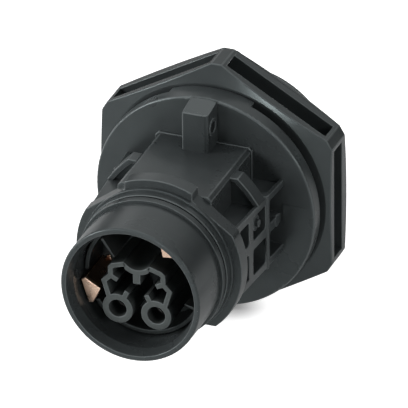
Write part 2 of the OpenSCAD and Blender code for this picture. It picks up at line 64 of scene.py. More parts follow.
def makeCamera(view):
    a, e, r = (math.radians(view[k]) for k in ("azimuth", "elevation", "roll"))
    back = Vector((math.sin(a) * math.cos(e), -math.cos(a) * math.cos(e), math.sin(e)))
    level = Vector((math.cos(a), math.sin(a), 0))
    rise = back.cross(level)
    right = level * math.cos(r) + rise * math.sin(r)
    up = rise * math.cos(r) - level * math.sin(r)
    aim = right * view["aimRight"] + up * view["aimUp"]
    data = bpy.data.cameras.new("photoCamera")
    data.lens = data.sensor_width * view["distance"] / view["field"]
    data.clip_end = 20
    camera = bpy.data.objects.new("photoCamera", data)
    turn = Matrix((right, up, back)).transposed().to_4x4()
    camera.matrix_world = Matrix.Translation(aim + back * view["distance"]) @ turn
    bpy.context.scene.collection.objects.link(camera)
    bpy.context.scene.camera = camera


makeCamera(cameraView)
bpy.context.scene.view_settings.view_transform = "Standard"
print("camera set")


# shader helpers
def addNode(tree, kind, **values):
    node = tree.nodes.new(kind)
    for key, value in values.items():
        if key in node.inputs:
            node.inputs[key].default_value = value
        else:
            setattr(node, key, value)
    return node


def linkUp(tree, *pairs):
    for source, target in pairs:
        tree.links.new(source, target)


def mathNode(tree, operation, a, b=None, clamp=False):
    node = addNode(tree, "ShaderNodeMath", operation=operation, use_clamp=clamp)
    for socket, value in zip(node.inputs, (a, b)):
        if value is None:
            continue
        if isinstance(value, (int, float)):
            socket.default_value = value
        else:
            tree.links.new(value, socket)
    return node.outputs[0]


def remap(tree, value, low, high, toLow=0.0, toHigh=1.0):
    node = addNode(tree, "ShaderNodeMapRange", interpolation_type="SMOOTHSTEP")
    for name, number in (("From Min", low), ("From Max", high), ("To Min", toLow), ("To Max", toHigh)):
        node.inputs[name].default_value = number
    tree.links.new(value, node.inputs["Value"])
    return node.outputs["Result"]


def newGroup(name, inputs, outputs):
    group = bpy.data.node_groups.new(name, "ShaderNodeTree")
    for label, kind, value in inputs:
        socket = group.interface.new_socket(label, in_out="INPUT", socket_type=kind)
        socket.default_value = value
    for label, kind in outputs:
        group.interface.new_socket(label, in_out="OUTPUT", socket_type=kind)
    return group, addNode(group, "NodeGroupInput"), addNode(group, "NodeGroupOutput")


# the part of each noise that is stretched to the full range
noiseRange = {"cloud": (0.3, 0.7), "streak": (0.35, 0.65)}


def makeMouldGrain():
    group, into, out = newGroup(
        "mouldGrain",
        [("Grain Size", "NodeSocketFloat", 0.0002), ("Cloud Size", "NodeSocketFloat", 0.009)],
        [("Height", "NodeSocketFloat"), ("Cloud", "NodeSocketFloat")])
    place = addNode(group, "ShaderNodeTexCoord")
    fine = addNode(group, "ShaderNodeTexNoise", Detail=3.0, Roughness=0.6)
    cloud = addNode(group, "ShaderNodeTexNoise", Detail=4.0, Roughness=0.55)
    linkUp(group, (place.outputs["Object"], fine.inputs["Vector"]),
           (place.outputs["Object"], cloud.inputs["Vector"]),
           (mathNode(group, "DIVIDE", 1.0, into.outputs["Grain Size"]), fine.inputs["Scale"]),
           (mathNode(group, "DIVIDE", 1.0, into.outputs["Cloud Size"]), cloud.inputs["Scale"]))
    linkUp(group, (fine.outputs["Fac"], out.inputs["Height"]),
           (remap(group, cloud.outputs["Fac"], *noiseRange["cloud"]), out.inputs["Cloud"]))
    return group


# painted highlight: a lighter colour on the rounded edge strips, broken up in patches, standing in for the
# light those edges catch
def makePaintedEdgeHighlight():
    group, into, out = newGroup(
        "paintedEdgeHighlight",
        [("Patch Size", "NodeSocketFloat", 0.0015), ("Breakup", "NodeSocketFloat", 0.3)],
        [("Mask", "NodeSocketFloat")])
    strip = addNode(group, "ShaderNodeAttribute", attribute_name="paintedHighlight")
    place = addNode(group, "ShaderNodeTexCoord")
    patches = addNode(group, "ShaderNodeTexNoise", Detail=2.0)
    linkUp(group, (mathNode(group, "DIVIDE", 1.0, into.outputs["Patch Size"]), patches.inputs["Scale"]),
           (place.outputs["Object"], patches.inputs["Vector"]))
    loss = mathNode(group, "MULTIPLY", patches.outputs["Fac"], into.outputs["Breakup"])
    kept = mathNode(group, "SUBTRACT", 1.0, loss, True)
    linkUp(group, (mathNode(group, "MULTIPLY", strip.outputs["Fac"], kept), out.inputs["Mask"]))
    return group


def makeDrawLines():
    group, into, out = newGroup(
        "drawLines",
        [("Line Width", "NodeSocketFloat", 0.0001), ("Stretch", "NodeSocketFloat", 0.06)],
        [("Height", "NodeSocketFloat"), ("Streak", "NodeSocketFloat")])
    place = addNode(group, "ShaderNodeTexCoord")
    squeeze = addNode(group, "ShaderNodeCombineXYZ", X=1.0, Z=1.0)
    scaled = addNode(group, "ShaderNodeVectorMath", operation="MULTIPLY")
    lines = addNode(group, "ShaderNodeTexNoise", Detail=4.0, Roughness=0.7)
    linkUp(group, (into.outputs["Stretch"], squeeze.inputs["Y"]),
           (place.outputs["Object"], scaled.inputs[0]), (squeeze.outputs[0], scaled.inputs[1]),
           (scaled.outputs[0], lines.inputs["Vector"]),
           (mathNode(group, "DIVIDE", 1.0, into.outputs["Line Width"]), lines.inputs["Scale"]))
    linkUp(group, (lines.outputs["Fac"], out.inputs["Height"]),
           (remap(group, lines.outputs["Fac"], *noiseRange["streak"]), out.inputs["Streak"]))
    return group


mouldGrain = makeMouldGrain()
paintedEdgeHighlight = makePaintedEdgeHighlight()
drawLines = makeDrawLines()


def srgb(*levels):
    # display levels from 0 to 255 as linear light
    shares = [level / 255 for level in levels]
    return tuple(((c + 0.055) / 1.055) ** 2.4 if c > 0.04 else c / 12.92 for c in shares) + (1.0,)


def placeGroup(tree, group, **values):
    node = addNode(tree, "ShaderNodeGroup", node_tree=group)
    for key, value in values.items():
        node.inputs[key].default_value = value
    return node


# the Mix node's colour sockets by number, as its sockets share their names
mixSockets = {"a": 6, "b": 7, "result": 2}


def mixColour(tree, factor, a, b):
    node = addNode(tree, "ShaderNodeMix", data_type="RGBA")
    tree.links.new(factor, node.inputs["Factor"])
    for key, value in (("a", a), ("b", b)):
        socket = node.inputs[mixSockets[key]]
        if isinstance(value, tuple):
            socket.default_value = value
        else:
            tree.links.new(value, socket)
    return node.outputs[mixSockets["result"]]


# strength of the painted highlight on the rounded edges
def paintedHighlightMask(tree, look):
    edge = placeGroup(tree, paintedEdgeHighlight, **{"Patch Size": look["edgePatch"], "Breakup": look["edgeBreakup"]})
    return mathNode(tree, "MULTIPLY", edge.outputs["Mask"], look["edgeGain"])


def paintedShadeMask(tree, look):
    # painted shade: darker away from the mating end, less so along the edges, where the painted edge
    # highlight stays
    place = addNode(tree, "ShaderNodeTexCoord")
    split = addNode(tree, "ShaderNodeSeparateXYZ")
    linkUp(tree, (place.outputs["Object"], split.inputs[0]))
    inward = remap(tree, split.outputs["Y"], look["deepFrom"], look["deepTo"])
    return mathNode(tree, "MULTIPLY", inward, mathNode(tree, "SUBTRACT", 1.0, paintedHighlightMask(tree, look)))


def newMaterial(name):
    material = bpy.data.materials.new(name)
    material.use_nodes = True
    tree = material.node_tree
    return material, tree, tree.nodes["Principled BSDF"]


def joinShader(tree, look, colour, grain, height):
    # the colour, the cloudy roughness and the bump on the material's own shader
    shader = tree.nodes["Principled BSDF"]
    # painted shade deeper into the mouth
    if "paintedShade" in look:
        colour = mixColour(tree, paintedShadeMask(tree, look), colour, look["paintedShade"])
    rough = remap(tree, grain.outputs["Cloud"], 0, 1, *look["rough"])
    bump = addNode(tree, "ShaderNodeBump", Strength=look["bump"], Distance=look["bumpDepth"])
    linkUp(tree, (colour, shader.inputs["Base Color"]), (rough, shader.inputs["Roughness"]),
           (height, bump.inputs["Height"]), (bump.outputs[0], shader.inputs["Normal"]))


def makePlastic(name, look):
    material, tree, shader = newMaterial(name)
    shader.inputs["Specular IOR Level"].default_value = look["gloss"]
    shader.inputs["Specular Tint"].default_value = look["tint"]
    grain = placeGroup(tree, mouldGrain, **{"Grain Size": look["grain"], "Cloud Size": look["cloud"]})
    body = mixColour(tree, grain.outputs["Cloud"], look["dark"], look["light"])
    # painted highlight: the rounded edges take the lighter edge colour
    paintedHighlight = mixColour(tree, paintedHighlightMask(tree, look), body, look["edge"])
    joinShader(tree, look, paintedHighlight, grain, grain.outputs["Height"])
    return material


def makeMetal(name, look):
    material, tree, shader = newMaterial(name)
    shader.inputs["Metallic"].default_value = 1.0
    lines = placeGroup(tree, drawLines, **{"Line Width": look["line"], "Stretch": look["stretch"]})
    grain = placeGroup(tree, mouldGrain, **{"Grain Size": look["grain"], "Cloud Size": look["cloud"]})
    tint = mixColour(tree, lines.outputs["Streak"], look["dark"], look["light"])
    film = mathNode(tree, "MULTIPLY", grain.outputs["Cloud"], look["tarnish"])
    aged = mixColour(tree, film, tint, look["stain"])
    joinShader(tree, look, aged, grain, lines.outputs["Height"])
    return material


# edge is the colour of the painted highlight on rounded edges; edgePatch, edgeBreakup and edgeGain shape that
# painted highlight
plasticLook = {
    "dark": srgb(59, 63, 64), "light": srgb(65, 69, 70), "edge": srgb(107, 112, 113),
    "edgePatch": 3 * mm, "edgeBreakup": 0.3, "edgeGain": 0.7,
    "gloss": 0.45, "tint": (0.86, 1.0, 1.01, 1.0), "rough": (0.27, 0.33),
    "grain": 0.16 * mm, "cloud": 9 * mm, "bump": 0.12, "bumpDepth": 0.02 * mm,
}
nutLook = dict(plasticLook, rough=(0.22, 0.26), cloud=12 * mm, edgeGain=0.5)
collarLook = dict(plasticLook, grain=0.12 * mm, bump=0.08)
# insert: the tube walls darken with painted shade away from the mating face
insertLook = dict(plasticLook, dark=srgb(72, 76, 75), light=srgb(79, 83, 82), rough=(0.34, 0.42),
                  paintedShade=srgb(45, 48, 48), deepFrom=-37.4 * mm, deepTo=-35.4 * mm)
blankLook = dict(plasticLook, dark=srgb(38, 40, 40), light=srgb(44, 46, 46), edge=srgb(52, 54, 54),
                 rough=(0.34, 0.42))
rubberLook = dict(plasticLook, dark=srgb(12, 12, 13), light=srgb(18, 18, 19), edge=srgb(26, 26, 27),
                  gloss=0.2, rough=(0.55, 0.68), grain=0.1 * mm, bump=0.25)
copperLook = {
    "dark": srgb(232, 192, 166), "light": srgb(255, 230, 208),
    "stain": srgb(204, 158, 130), "tarnish": 0.3,
    "line": 0.09 * mm, "stretch": 0.05, "grain": 0.2 * mm, "cloud": 2.5 * mm,
    "rough": (0.26, 0.4), "bump": 0.1, "bumpDepth": 0.01 * mm,
}
# blades: painted shade deeper in the mouth, kept off the edges
bladeLook = dict(copperLook, paintedShade=srgb(146, 112, 92), deepFrom=-36.3 * mm, deepTo=-35.3 * mm,
                 edgePatch=1.5 * mm, edgeBreakup=0.1, edgeGain=0.95)
silverLook = dict(copperLook, dark=srgb(176, 176, 174), light=srgb(208, 208, 206),
                  stain=srgb(150, 146, 138))
steelLook = dict(copperLook, dark=srgb(168, 171, 175), light=srgb(200, 203, 207),
                 stain=srgb(150, 152, 150), tarnish=0.2, stretch=1.0)
# socket metal darkened well below the silver tabs: painted shade for the sockets deep inside the tubes
paintedShadeSocketLook = dict(silverLook, dark=srgb(74, 74, 73), light=srgb(92, 92, 90),
                  stain=srgb(58, 57, 54), rough=(0.4, 0.5))

housingPlastic = makePlastic("housingPlastic", plasticLook)
nutPlastic = makePlastic("nutPlastic", nutLook)
collarPlastic = makePlastic("collarPlastic", collarLook)
insertPlastic = makePlastic("insertPlastic", insertLook)
blankPlastic = makePlastic("blankPlastic", blankLook)
sealRubber = makePlastic("sealRubber", rubberLook)
copperAlloy = makeMetal("copperAlloy", bladeLook)
silverPlate = makeMetal("silverPlate", silverLook)
zincSteel = makeMetal("zincSteel", steelLook)
paintedShadeSocketMetal = makeMetal("paintedShadeSocketMetal", paintedShadeSocketLook)
print("materials made")


# mesh helpers; tolerance has lengths for places that count as the same, and shares for directions
tolerance = {"same": 0.01 * mm, "round": 0.02 * mm, "join": 0.001 * mm, "thin": 0.0001 * mm,
             "flatAngle": math.radians(0.5), "along": 0.98, "facing": 0.99}


def near(a, b, reach=tolerance["same"]):
    return abs(a - b) < reach


def radiusOf(place):
    return math.hypot(place.x, place.z)


def circlePoints(r, steps):
    angles = [2 * math.pi * i / steps for i in range(steps)]
    return [(r * math.cos(a), r * math.sin(a)) for a in angles]


def bridgeRings(bm, inner, outer):
    faces = []
    for i in range(len(inner)):
        j = (i + 1) % len(inner)
        faces.append(bm.faces.new((inner[i], inner[j], outer[j], outer[i])))
    return faces


def blankMesh():
    bm = bmesh.new()
    bm.faces.layers.int.new("rounded")
    bm.faces.layers.float.new("paintedHighlight")
    return bm


def joinDoubles(bm):
    bmesh.ops.remove_doubles(bm, verts=bm.verts, dist=tolerance["join"])
    bmesh.ops.dissolve_degenerate(bm, edges=bm.edges, dist=tolerance["thin"])


def weld(bm):
    joinDoubles(bm)
    bmesh.ops.dissolve_limit(bm, angle_limit=tolerance["flatAngle"], verts=bm.verts, edges=bm.edges)


def cadCopy(node):
    bm = blankMesh()
    bm.from_mesh(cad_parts[node].data)
    weld(bm)
    return bm


def edgeAngle(edge):
    return math.degrees(edge.calc_face_angle(0)) if len(edge.link_faces) == 2 else 0


def isRounded(bm, edge):
    mark = bm.faces.layers.int["rounded"]
    return any(face[mark] for face in edge.link_faces)


# marks rounded faces and how much painted edge highlight they take
def markRounded(bm, faces, paintedHighlight):
    mark, highlightLayer = bm.faces.layers.int["rounded"], bm.faces.layers.float["paintedHighlight"]
    for face in faces:
        face[mark] = 1
        face[highlightLayer] = paintedHighlight


def roundEdges(bm, edges, width, segments=3, paintedHighlight=1.0):
    made = bmesh.ops.bevel(bm, geom=edges, offset=width, segments=segments, profile=0.5, affect="EDGES",
                           clamp_overlap=False, loop_slide=True)
    markRounded(bm, made["faces"], paintedHighlight)


def convexEdges(bm, lowest=28, test=None, steep=45):
    found = []
    for edge in bm.edges:
        angle = edgeAngle(edge)
        if edge.is_convex and angle > lowest and (angle > steep or not isRounded(bm, edge)):
            if test is None or test(edge):
                found.append(edge)
    return found


def markSharp(bm, crease=32, faint=12):
    for edge in bm.edges:
        angle = edgeAngle(edge)
        edge.smooth = not (angle > crease or (angle > faint and not isRounded(bm, edge)))


def finishMesh(name, bm, material, body, replaced=()):
    markSharp(bm)
    mesh = bpy.data.meshes.new(name)
    for face in bm.faces:
        face.smooth = True
    bm.to_mesh(mesh)
    bm.free()
    if "custom_normal" in mesh.attributes:
        mesh.attributes.remove(mesh.attributes["custom_normal"])
    mesh.materials.clear()
    mesh.materials.append(material)
    piece = bpy.data.objects.new(name, mesh)
    bpy.context.scene.collection.objects.link(piece)
    even = piece.modifiers.new("evenNormals", "WEIGHTED_NORMAL")
    even.keep_sharp = True
    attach(piece, body)
    if replaced:
        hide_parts(*replaced)


def onAxis(edge, axis, x=None, y=None, z=None, reach=tolerance["round"]):
    # an edge along one axis, with its other places given
    a, b = (v.co for v in edge.verts)
    step = b - a
    if step.length < reach or abs(step[axis]) < tolerance["along"] * step.length:
        return False
    return all(want is None or (near(a[i], want, reach) and near(b[i], want, reach))
               for i, want in enumerate((x, y, z)))


# housing: mended forms, rounded windows, a soft lug, painted highlights on the edges and a neck that leaves
# room for the thread
housing = {
    "edge": 0.17 * mm,
    "windowFloor": 12.15 * mm, "windowHalf": 7 * mm, "windowAngle": 80, "windowCorner": 0.5 * mm,
    "windowSteps": 3,
    "lugX": 2.6 * mm, "lugFront": -8 * mm, "lugBack": -4 * mm, "lugTop": 18 * mm, "lugGap": 0.1 * mm,
    "lugRight": 0.85 * mm, "lugLeft": 0.32 * mm, "lugSteps": 5,
    "flangeFace": -3 * mm, "padFace": -3.12 * mm, "padTip": 0.5 * mm, "padEnd": 0.015 * mm,
    "padHeight": (-3.13 * mm, -3.005 * mm),
    "pocketFloor": 6.8 * mm, "strapFoot": 7.5 * mm, "sideTop": 7.6 * mm, "coreSide": 9.2 * mm,
    "ringRear": -23.4 * mm, "pocketEnd": -3.5 * mm,
    "lipFront": -28.3 * mm, "lipRim": -28.95 * mm, "lipOuter": 14.5 * mm, "lipInner": 14.28 * mm,
    "stepRadius": 14.95 * mm, "stepFront": -27.4 * mm, "stepReach": 0.3 * mm,
    "rimInner": 21.28 * mm, "rimHeight": (-3.005 * mm, -2.49 * mm), "rimHighlight": (-2.93 * mm, -2.66 * mm),
    "rimFacing": -0.1,
    "neck": 18 * mm, "neckRoot": 17.2 * mm, "neckFrom": -0.05 * mm,
    "threadEnd": 16.4 * mm, "runOut": 0.3 * mm,
}


def inWindow(edge):
    middle = (edge.verts[0].co + edge.verts[1].co) / 2
    low = min(abs(v.co.x) for v in edge.verts)
    return (onAxis(edge, 0) and not edge.is_convex and edgeAngle(edge) > housing["windowAngle"]
            and low > housing["windowFloor"] and abs(middle.z) < housing["windowHalf"])


def takesRound(edge):
    # all but the pads' sides and the inside of the lip's rim
    low, high = housing["padHeight"]
    onPad = all(low < v.co.y < high for v in edge.verts)
    deepest = housing["lipFront"] + tolerance["same"]
    inLip = all(near(radiusOf(v.co), housing["lipInner"]) and v.co.y < deepest for v in edge.verts)
    return not onPad and not inLip


def raiseLipRim(bm, look):
    # a thin rim round the seal leaves only a narrow groove in front of the bead
    def onFront(vert):
        return near(vert.co.y, look["lipFront"]) and radiusOf(vert.co) < look["lipOuter"] + tolerance["round"]

    front = [f for f in bm.faces if all(onFront(v) for v in f.verts)]
    corners = {v for f in front for v in f.verts}
    outer = [v for v in bm.verts
             if v in corners and near(radiusOf(v.co), look["lipOuter"], tolerance["round"])]
    bore = [e for e in bm.edges
            if sum(f in front for f in e.link_faces) == 1 and not any(v in outer for v in e.verts)]
    if not outer or not bore:
        return
    outer.sort(key=lambda v: math.atan2(v.co.z, v.co.x))
    bmesh.ops.delete(bm, geom=front, context="FACES_KEEP_BOUNDARY")
    share = look["lipInner"] / look["lipOuter"]
    rings = []
    for y in (look["lipFront"], look["lipRim"]):
        rings.append([bm.verts.new((v.co.x * share, y, v.co.z * share)) for v in outer])
    for vert in outer:
        vert.co.y = look["lipRim"]
    rings.append(outer)
    # fore before back, or the bridge from the seat to the bore is twisted
    fresh = []
    for back, fore in zip(rings, rings[1:]):
        fresh += bridgeRings(bm, fore, back)
    seat = rings[0]
    loop = [bm.edges.get((a, b)) for a, b in zip(seat, seat[1:] + seat[:1])]
    fresh += bmesh.ops.bridge_loops(bm, edges=bore + loop)["faces"]
    for face in fresh:
        face.normal_update()
        middle = face.calc_center_median()
        outward = Vector((-middle.x, -look["lipOuter"], -middle.z))
        if face.normal.dot(outward) < 0:
            face.normal_flip()


def evenRim(bm, look):
    # the flange's round rim gets triangles that follow its curve
    low, high = look["rimHeight"]

    def inBand(vert):
        offLug = abs(vert.co.x) > look["lugX"] + look["lugGap"]
        return offLug and radiusOf(vert.co) > look["rimInner"] and low < vert.co.y < high

    band = [f for f in bm.faces if all(inBand(v) for v in f.verts)]
    faces = bmesh.ops.triangulate(bm, faces=band)["faces"]
    kept = set(faces)
    edges = [e for e in bm.edges if len(e.link_faces) == 2 and all(f in kept for f in e.link_faces)]
    bmesh.ops.beautify_fill(bm, faces=faces, edges=edges, method="ANGLE")


def paintRimHighlight(bm, look):
    # the painted highlight line on the middle of the round rim
    low, high = look["rimHighlight"]

    def onLine(face):
        middle = face.calc_center_median()
        outside = radiusOf(middle) > look["rimInner"] and low < middle.y < high
        return outside and face.normal.y < look["rimFacing"]

    markRounded(bm, [f for f in bm.faces if onLine(f)], 1.0)


def plainPlaces(bm, look):
    # no painted highlight line on the step behind the lip, nor where the lug's top runs into the flange's rim
    highlightLayer = bm.faces.layers.float["paintedHighlight"]
    for face in bm.faces:
        middle = face.calc_center_median()
        onStep = (near(radiusOf(middle), look["stepRadius"], look["stepReach"])
                  and near(middle.y, look["stepFront"], look["stepReach"]))
        onLug = abs(middle.x) < look["lugX"] and middle.z > look["lugTop"] and middle.y > look["lugBack"]
        if onStep or onLug:
            face[highlightLayer] = 0.0


def closeLeftPocket(bm, look):
    # on the left the side box is flush up to the core
    foremost = look["ringRear"] - tolerance["same"]
    lowest = look["strapFoot"] - tolerance["same"]
    for vert in bm.verts:
        onFloor = near(vert.co.z, look["pocketFloor"])
        onFoot = lowest < vert.co.z < look["sideTop"]
        inPocket = vert.co.x < -look["coreSide"] and foremost < vert.co.y < look["pocketEnd"]
        if inPocket and (onFloor or onFoot):
            vert.co.z = look["sideTop"]
    weld(bm)


def fadePads(bm, look):
    # the pads on the flange's face run out level with it at its rim
    tips = [v for v in bm.verts if near(v.co.y, look["padFace"])]
    reach = max(abs(v.co.x) for v in tips)
    for vert in tips:
        if abs(vert.co.x) > reach - look["padTip"]:
            vert.co.y = look["flangeFace"] - look["padEnd"]


# old and new lines of the straps, each from its level part to its foot, as X and Z in millimetres
strap = {
    "front": -14.2 * mm, "back": -11 * mm, "steps": 6, "reach": 0.02,
    "rootFrom": (9.3, 11.3), "rootTo": (9.3, 11.95),
    "outerFrom": ((11.2, 12.6), (13.565, 12.6), (15.141, 7.5)),
    "outerTo": ((10.9, 12.65), (13.4, 10.4), (15.141, 7.5)),
    "innerFrom": ((10.55, 11.3), (12.915, 11.3), (13.386, 7.5)),
    "innerTo": ((10.15, 11.85), (12.35, 9.93), (13.95, 7.5)),
}


def bentLine(a, b, c, steps):
    a, b, c = Vector(a), Vector(b), Vector(c)
    shares = [i / steps for i in range(steps + 1)]
    return [(1 - t) ** 2 * a + 2 * t * (1 - t) * b + t ** 2 * c for t in shares]


def straightenStraps(bm, look):
    moves = [(Vector(look["rootFrom"]), Vector(look["rootTo"]))]
    for line in ("outer", "inner"):
        old, new = (bentLine(*look[line + end], look["steps"]) for end in ("From", "To"))
        moves += zip(old, new)
    foremost, rearmost = look["front"] - tolerance["same"], look["back"] + tolerance["same"]
    for vert in bm.verts:
        if not foremost < vert.co.y < rearmost:
            continue
        side = 1 if vert.co.x > 0 else -1
        here = Vector((abs(vert.co.x), vert.co.z)) / mm
        for old, new in moves:
            if (here - old).length < look["reach"]:
                vert.co.x = side * new.x * mm
                vert.co.z = new.y * mm


def thinNeck(bm, look):
    # the neck's core, inside the thread
    for y in (look["threadEnd"], look["threadEnd"] + look["runOut"]):
        bmesh.ops.bisect_plane(bm, geom=bm.verts[:] + bm.edges[:] + bm.faces[:], dist=tolerance["thin"],
                               plane_co=(0, y, 0), plane_no=(0, 1, 0))
    last = look["threadEnd"] + tolerance["same"]
    for vert in bm.verts:
        r = radiusOf(vert.co)
        if look["neckFrom"] < vert.co.y < last and near(r, look["neck"], tolerance["round"]):
            vert.co.x *= look["neckRoot"] / r
            vert.co.z *= look["neckRoot"] / r


def makeHousing(look):
    bm = cadCopy("body_housing")
    straightenStraps(bm, strap)
    closeLeftPocket(bm, look)
    fadePads(bm, look)
    raiseLipRim(bm, look)
    evenRim(bm, look)
    roundEdges(bm, [e for e in bm.edges if inWindow(e)], look["windowCorner"], look["windowSteps"], 0.0)
    # the lug's small left rounding takes the painted edge highlight, its large right rounding does not
    for side, width, paintedHighlight in ((1, look["lugRight"], 0.0), (-1, look["lugLeft"], 1.0)):
        corner = [e for e in bm.edges if onAxis(e, 2, x=side * look["lugX"], y=look["lugFront"])]
        roundEdges(bm, corner, width, look["lugSteps"], paintedHighlight)
    roundEdges(bm, convexEdges(bm, test=takesRound), look["edge"])
    paintRimHighlight(bm, look)
    plainPlaces(bm, look)
    thinNeck(bm, look)
    finishMesh("body_housing_dressed", bm, housingPlastic, "connector", ["body_housing"])


makeHousing(housing)

# thread on the neck, a sleeve whose rows follow the helix; runIn is in pitches
neckThread = {
    "from": 0.8 * mm, "to": 16.5 * mm, "pitch": 1.5 * mm, "runIn": 0.6,
    "root": 17.35 * mm, "crest": 18 * mm, "inner": 16.9 * mm, "steps": 96,
    "rows": ((0.0, 0), (0.14, 0), (0.42, 1), (0.58, 1), (0.86, 0)),
}


def threadColumn(bm, look, turn, turns):
    # one column of the thread's outside, at a share of a full turn
    start, end, pitch = look["from"], look["to"], look["pitch"]
    a = 2 * math.pi * turn
    column = []
    for lap in range(-1, turns):
        for share, rise in look["rows"]:
            y = min(max(start + pitch * (lap + share + turn), start), end)
            fade = min(1, (y - start) / (look["runIn"] * pitch), (end - y) / (look["runIn"] * pitch))
            r = look["root"] + rise * fade * (look["crest"] - look["root"])
            column.append(bm.verts.new((r * math.cos(a), y, r * math.sin(a))))
    return column


def makeThread(look):
    bm = blankMesh()
    steps = look["steps"]
    turns = math.ceil((look["to"] - look["from"]) / look["pitch"]) + 2
    columns = [threadColumn(bm, look, i / steps, turns) for i in range(steps + 1)]
    for left, right in zip(columns, columns[1:]):
        for k in range(len(left) - 1):
            bm.faces.new((left[k], left[k + 1], right[k + 1], right[k]))
    rings = []
    for r, y in ((look["root"], look["from"]), (look["inner"], look["from"]),
                 (look["inner"], look["to"]), (look["root"], look["to"])):
        rings.append([bm.verts.new((x, y, z)) for x, z in circlePoints(r, steps)])
    for inner, outer in zip(rings, rings[1:]):
        bridgeRings(bm, inner, outer)
    joinDoubles(bm)
    bmesh.ops.recalc_face_normals(bm, faces=bm.faces)
    finishMesh("neck_thread", bm, housingPlastic, "connector")


makeThread(neckThread)

# nut: soft outer edges, tighter ones round the recesses
nut = {"edge": 0.2 * mm, "recessEdge": 0.14 * mm, "recessFrom": 20 * mm, "recessAngle": 85}


def makeNut(look):
    def inRecess(edge):
        return min(radiusOf(v.co) for v in edge.verts) > look["recessFrom"]

    bm = cadCopy("mounting_nut")
    roundEdges(bm, convexEdges(bm, look["recessAngle"], inRecess), look["recessEdge"])
    roundEdges(bm, convexEdges(bm), look["edge"])
    finishMesh("mounting_nut_dressed", bm, nutPlastic, "nut", ["mounting_nut"])


makeNut(nut)

# insert: soft rims on the tower, its tubes and the skirt, where they face the mating side
insert = {"towerFace": -37.7 * mm, "skirtFace": -34 * mm, "rim": 0.16 * mm, "skirtRim": 0.2 * mm, "steps": 3}


def rimLoops(faces):
    inside = set(faces)
    follow = {}
    for face in faces:
        for loop in face.loops:
            if any(other not in inside for other in loop.edge.link_faces):
                follow[loop.vert] = loop.link_loop_next.vert
    loops = []
    while follow:
        start, here = follow.popitem()
        chain = [start]
        while here is not start:
            chain.append(here)
            here = follow.pop(here)
        loops.append(chain)
    return loops


def inwardSteps(chain):
    flat = [Vector((v.co.x, v.co.z)) for v in chain]
    steps = []
    for i, here in enumerate(flat):
        into = (here - flat[i - 1]).normalized()
        out = (flat[(i + 1) % len(flat)] - here).normalized()
        total = into + out
        steps.append(Vector((-total.y, 0, total.x)) / (1 + into.dot(out)))
    return steps


def signedArea(ring):
    return sum(a.co.x * b.co.z - b.co.x * a.co.z for a, b in zip(ring, ring[1:] + ring[:1])) / 2


def holdsPoint(ring, point):
    inside = False
    for a, b in zip(ring, ring[1:] + ring[:1]):
        if (a.co.z > point.z) != (b.co.z > point.z):
            if point.x < a.co.x + (point.z - a.co.z) * (b.co.x - a.co.x) / (b.co.z - a.co.z):
                inside = not inside
    return inside


def islandsOf(rings):
    # each outer outline, smallest first, takes the holes that lie in it
    outers = sorted((r for r in rings if signedArea(r) > 0), key=signedArea)
    holes = [r for r in rings if signedArea(r) <= 0]
    islands = []
    for outer in outers:
        own = [h for h in holes if holdsPoint(outer, h[0].co)]
        holes = [h for h in holes if h not in own]
        islands.append([outer] + own)
    return islands


def fillIslands(bm, rings):
    for island in islandsOf(rings):
        flat = [v for ring in island for v in ring]
        for corners in geometry.tessellate_polygon([[v.co for v in ring] for ring in island]):
            face = bm.faces.new([flat[i] for i in corners])
            face.normal_update()
            if face.normal.y > 0:
                face.normal_flip()


def softenRim(bm, level, width, count, paintedHighlight):
    faces = [f for f in bm.faces
             if f.normal.y < -tolerance["facing"] and near(f.calc_center_median().y, level)]
    chains = rimLoops(faces)
    steps = [inwardSteps(chain) for chain in chains]
    places = [[v.co.copy() for v in chain] for chain in chains]
    bmesh.ops.delete(bm, geom=faces, context="FACES_KEEP_BOUNDARY")
    last = []
    for chain, inward, start in zip(chains, steps, places):
        ring = chain
        for k in range(1, count + 1):
            a = math.pi / 2 * k / count
            inset, drop = width * (1 - math.cos(a)), Vector((0, width * (1 - math.sin(a)), 0))
            fresh = [bm.verts.new(place + step * inset + drop) for place, step in zip(start, inward)]
            markRounded(bm, bridgeRings(bm, ring, fresh), paintedHighlight)
            ring = fresh
        for vert in chain:
            vert.co.y += width
        last.append(ring)
    fillIslands(bm, last)


def makeInsert(look):
    bm = cadCopy("contact_insert")
    # the tower's rims take the painted edge highlight, the skirt's rims do not
    softenRim(bm, look["towerFace"], look["rim"], look["steps"], 1.0)
    softenRim(bm, look["skirtFace"], look["skirtRim"], look["steps"], 0.0)
    finishMesh("contact_insert_dressed", bm, insertPlastic, "connector", ["contact_insert"])


makeInsert(insert)

# plate screws with a cross recess; turns are in radians, tip and tipRise in shares of the shank,
# crownStep in shares of the crown
plateScrew = {
    "angles": (6, 126, 246), "turns": (0.4, 1.3, 2.2), "ring": 13.2 * mm, "top": 7 * mm,
    "head": 1.7 * mm, "headHeight": 1.2 * mm, "crown": 0.22 * mm, "crownStep": 0.3,
    "shank": 0.95 * mm, "length": 6 * mm, "tip": 0.6, "tipRise": 0.4,
    "arm": 1.05 * mm, "armHalf": 0.24 * mm, "recess": 0.7 * mm, "taper": 0.75, "steps": 40,
}


def crossOutline(arm, half):
    corner = [(arm, -half), (arm, half), (half, half)]
    points = []
    for c, s in ((1, 0), (0, 1), (-1, 0), (0, -1)):
        points += [(x * c - z * s, x * s + z * c) for x, z in corner]
    return points


